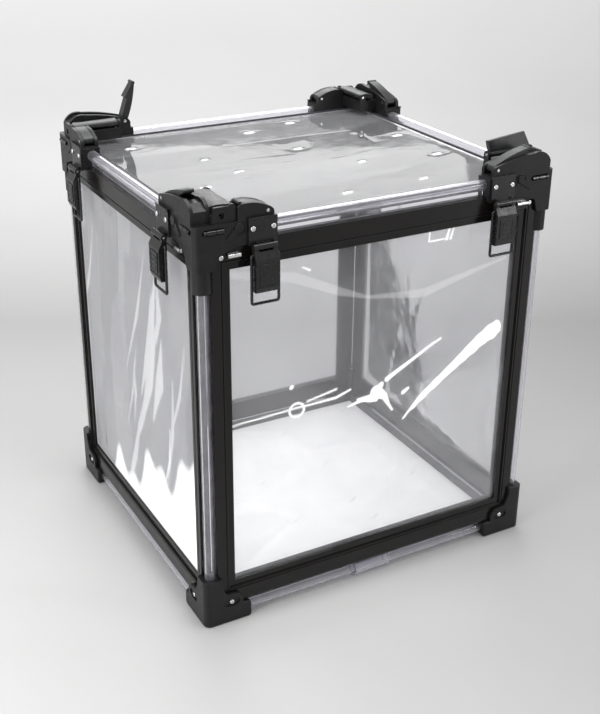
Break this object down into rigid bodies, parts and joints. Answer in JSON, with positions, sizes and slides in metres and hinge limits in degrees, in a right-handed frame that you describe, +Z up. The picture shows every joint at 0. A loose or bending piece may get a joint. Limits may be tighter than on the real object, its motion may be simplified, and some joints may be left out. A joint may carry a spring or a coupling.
{
  "type": "laboratory glove box",
  "caption": "Knock-down isolation box: clear tube frame, black corner mouldings with cam levers and draw latches, framed clear film walls and a film top.",
  "frame": {"origin": "centre of the footprint between the four wall planes, at the level of the shoe soles", "axes": "+X to the right along the front wall, +Y from the front wall to the back wall, +Z up"},
  "size_m": [0.54, 0.5, 0.6108],
  "materials": {
    "black_nylon": "moulded glass-filled nylon, fine grain, slight sheen on edges",
    "lever_black": "moulded nylon, satin",
    "latch_black": "black powder-coated pressed steel, satin",
    "black_extrusion": "glossy black extruded plastic with long drawn lines",
    "clear_tube": "clear acrylic tube, polished",
    "clear_film": "clear flexible film, wrinkled and slightly hazy",
    "black_seal": "soft black seal strip",
    "white_floor": "white sheet, matte",
    "steel": "bright plated steel",
    "black_wire": "black coated steel wire"
  },
  "bodies": {
    "root": {"bottom_rails_front_back": "clear_tube", "bottom_rails_side": "clear_tube", "bottom_shoe_back_left": "black_nylon", "bottom_shoe_back_right": "black_nylon", "bottom_shoe_front_left": "black_nylon", "bottom_shoe_front_right": "black_nylon", "corner_posts": "clear_tube", "floor_panel": "white_floor", "latch_keepers": "steel", "latch_pins": "steel", "latch_plates": "latch_black", "lever_pins": "steel", "locking_barrels": "latch_black", "pan_screws": "steel", "top_corner_back_left": "black_nylon", "top_corner_back_right": "black_nylon", "top_corner_front_left": "black_nylon", "top_corner_front_right": "black_nylon", "top_film": "clear_film", "top_rails_front_back": "clear_tube", "top_rails_side": "clear_tube", "top_seal": "black_seal", "tube_clip": "clear_tube", "wall_film_back": "clear_film", "wall_film_front": "clear_film", "wall_film_left": "clear_film", "wall_film_right": "clear_film", "wall_frame_back": "black_extrusion", "wall_frame_front": "black_extrusion", "wall_frame_left": "black_extrusion", "wall_frame_right": "black_extrusion"},
    "short_lever_front_left": {"short_lever_front_left": "lever_black"},
    "long_lever_front_left": {"long_lever_front_left": "lever_black"},
    "lock_flap_front_left": {"lock_flap_front_left": "lever_black"},
    "latch_lever_a_front_left": {"latch_lever_a_front_left": "latch_black"},
    "wire_bail_a_front_left": {"wire_bail_a_front_left": "black_wire"},
    "latch_lever_b_front_left": {"latch_lever_b_front_left": "latch_black"},
    "wire_bail_b_front_left": {"wire_bail_b_front_left": "black_wire"},
    "short_lever_front_right": {"short_lever_front_right": "lever_black"},
    "long_lever_front_right": {"long_lever_front_right": "lever_black"},
    "lock_flap_front_right": {"lock_flap_front_right": "lever_black"},
    "latch_lever_a_front_right": {"latch_lever_a_front_right": "latch_black"},
    "wire_bail_a_front_right": {"wire_bail_a_front_right": "black_wire"},
    "latch_lever_b_front_right": {"latch_lever_b_front_right": "latch_black"},
    "wire_bail_b_front_right": {"wire_bail_b_front_right": "black_wire"},
    "short_lever_back_right": {"short_lever_back_right": "lever_black"},
    "long_lever_back_right": {"long_lever_back_right": "lever_black"},
    "lock_flap_back_right": {"lock_flap_back_right": "lever_black"},
    "latch_lever_a_back_right": {"latch_lever_a_back_right": "latch_black"},
    "wire_bail_a_back_right": {"wire_bail_a_back_right": "black_wire"},
    "latch_lever_b_back_right": {"latch_lever_b_back_right": "latch_black"},
    "wire_bail_b_back_right": {"wire_bail_b_back_right": "black_wire"},
    "short_lever_back_left": {"short_lever_back_left": "lever_black"},
    "long_lever_back_left": {"long_lever_back_left": "lever_black"},
    "lock_flap_back_left": {"lock_flap_back_left": "lever_black"},
    "latch_lever_a_back_left": {"latch_lever_a_back_left": "latch_black"},
    "wire_bail_a_back_left": {"wire_bail_a_back_left": "black_wire"},
    "latch_lever_b_back_left": {"latch_lever_b_back_left": "latch_black"},
    "wire_bail_b_back_left": {"wire_bail_b_back_left": "black_wire"}
  },
  "joints": [
    {"name": "short_lever_hinge_front_left", "type": "hinge", "parent": "root", "child": "short_lever_front_left", "pos_m": [-0.162, -0.222, 0.554], "axis": [0, 1, 0], "range_deg": [0, 100]},
    {"name": "long_lever_hinge_front_left", "type": "hinge", "parent": "root", "child": "long_lever_front_left", "pos_m": [-0.242, -0.142, 0.556], "axis": [-1, 0, 0], "range_deg": [0, 100]},
    {"name": "lock_flap_hinge_front_left", "type": "hinge", "parent": "root", "child": "lock_flap_front_left", "pos_m": [-0.2055, -0.195, 0.562], "axis": [0, 1, 0], "range_deg": [0, 95]},
    {"name": "latch_lever_hinge_a_front_left", "type": "hinge", "parent": "root", "child": "latch_lever_a_front_left", "pos_m": [-0.17, -0.2415, 0.515], "axis": [-1, 0, 0], "range_deg": [0, 120]},
    {"name": "wire_bail_hinge_a_front_left", "type": "hinge", "parent": "latch_lever_a_front_left", "child": "wire_bail_a_front_left", "pos_m": [-0.17, -0.2415, 0.5055], "axis": [-1, 0, 0], "range_deg": [0, 60]},
    {"name": "latch_lever_hinge_b_front_left", "type": "hinge", "parent": "root", "child": "latch_lever_b_front_left", "pos_m": [-0.2615, -0.15, 0.515], "axis": [0, 1, 0], "range_deg": [0, 120]},
    {"name": "wire_bail_hinge_b_front_left", "type": "hinge", "parent": "latch_lever_b_front_left", "child": "wire_bail_b_front_left", "pos_m": [-0.2615, -0.15, 0.5055], "axis": [0, 1, 0], "range_deg": [0, 60]},
    {"name": "short_lever_hinge_front_right", "type": "hinge", "parent": "root", "child": "short_lever_front_right", "pos_m": [0.242, -0.142, 0.554], "axis": [-1, 0, 0], "range_deg": [0, 100]},
    {"name": "long_lever_hinge_front_right", "type": "hinge", "parent": "root", "child": "long_lever_front_right", "pos_m": [0.162, -0.222, 0.556], "axis": [0, -1, 0], "range_deg": [0, 100]},
    {"name": "lock_flap_hinge_front_right", "type": "hinge", "parent": "root", "child": "lock_flap_front_right", "pos_m": [0.215, -0.1855, 0.562], "axis": [-1, 0, 0], "range_deg": [-95, 0]},
    {"name": "latch_lever_hinge_a_front_right", "type": "hinge", "parent": "root", "child": "latch_lever_a_front_right", "pos_m": [0.2615, -0.15, 0.515], "axis": [0, -1, 0], "range_deg": [0, 120]},
    {"name": "wire_bail_hinge_a_front_right", "type": "hinge", "parent": "latch_lever_a_front_right", "child": "wire_bail_a_front_right", "pos_m": [0.2615, -0.15, 0.5055], "axis": [0, -1, 0], "range_deg": [0, 60]},
    {"name": "latch_lever_hinge_b_front_right", "type": "hinge", "parent": "root", "child": "latch_lever_b_front_right", "pos_m": [0.17, -0.2415, 0.515], "axis": [-1, 0, 0], "range_deg": [0, 120]},
    {"name": "wire_bail_hinge_b_front_right", "type": "hinge", "parent": "latch_lever_b_front_right", "child": "wire_bail_b_front_right", "pos_m": [0.17, -0.2415, 0.5055], "axis": [-1, 0, 0], "range_deg": [0, 60]},
    {"name": "short_lever_hinge_back_right", "type": "hinge", "parent": "root", "child": "short_lever_back_right", "pos_m": [0.162, 0.222, 0.554], "axis": [0, -1, 0], "range_deg": [0, 100]},
    {"name": "long_lever_hinge_back_right", "type": "hinge", "parent": "root", "child": "long_lever_back_right", "pos_m": [0.242, 0.142, 0.556], "axis": [1, 0, 0], "range_deg": [0, 100]},
    {"name": "lock_flap_hinge_back_right", "type": "hinge", "parent": "root", "child": "lock_flap_back_right", "pos_m": [0.2055, 0.195, 0.562], "axis": [0, -1, 0], "range_deg": [0, 95]},
    {"name": "latch_lever_hinge_a_back_right", "type": "hinge", "parent": "root", "child": "latch_lever_a_back_right", "pos_m": [0.17, 0.2415, 0.515], "axis": [1, 0, 0], "range_deg": [0, 120]},
    {"name": "wire_bail_hinge_a_back_right", "type": "hinge", "parent": "latch_lever_a_back_right", "child": "wire_bail_a_back_right", "pos_m": [0.17, 0.2415, 0.5055], "axis": [1, 0, 0], "range_deg": [0, 60]},
    {"name": "latch_lever_hinge_b_back_right", "type": "hinge", "parent": "root", "child": "latch_lever_b_back_right", "pos_m": [0.2615, 0.15, 0.515], "axis": [0, -1, 0], "range_deg": [0, 120]},
    {"name": "wire_bail_hinge_b_back_right", "type": "hinge", "parent": "latch_lever_b_back_right", "child": "wire_bail_b_back_right", "pos_m": [0.2615, 0.15, 0.5055], "axis": [0, -1, 0], "range_deg": [0, 60]},
    {"name": "short_lever_hinge_back_left", "type": "hinge", "parent": "root", "child": "short_lever_back_left", "pos_m": [-0.242, 0.142, 0.554], "axis": [1, 0, 0], "range_deg": [0, 100]},
    {"name": "long_lever_hinge_back_left", "type": "hinge", "parent": "root", "child": "long_lever_back_left", "pos_m": [-0.162, 0.222, 0.556], "axis": [0, 1, 0], "range_deg": [-86, 14]},
    {"name": "lock_flap_hinge_back_left", "type": "hinge", "parent": "root", "child": "lock_flap_back_left", "pos_m": [-0.215, 0.1855, 0.562], "axis": [1, 0, 0], "range_deg": [0, 95]},
    {"name": "latch_lever_hinge_a_back_left", "type": "hinge", "parent": "root", "child": "latch_lever_a_back_left", "pos_m": [-0.2615, 0.15, 0.515], "axis": [0, 1, 0], "range_deg": [0, 120]},
    {"name": "wire_bail_hinge_a_back_left", "type": "hinge", "parent": "latch_lever_a_back_left", "child": "wire_bail_a_back_left", "pos_m": [-0.2615, 0.15, 0.5055], "axis": [0, 1, 0], "range_deg": [0, 60]},
    {"name": "latch_lever_hinge_b_back_left", "type": "hinge", "parent": "root", "child": "latch_lever_b_back_left", "pos_m": [-0.17, 0.2415, 0.515], "axis": [1, 0, 0], "range_deg": [0, 120]},
    {"name": "wire_bail_hinge_b_back_left", "type": "hinge", "parent": "latch_lever_b_back_left", "child": "wire_bail_b_back_left", "pos_m": [-0.17, 0.2415, 0.5055], "axis": [1, 0, 0], "range_deg": [0, 60]}
  ]
}
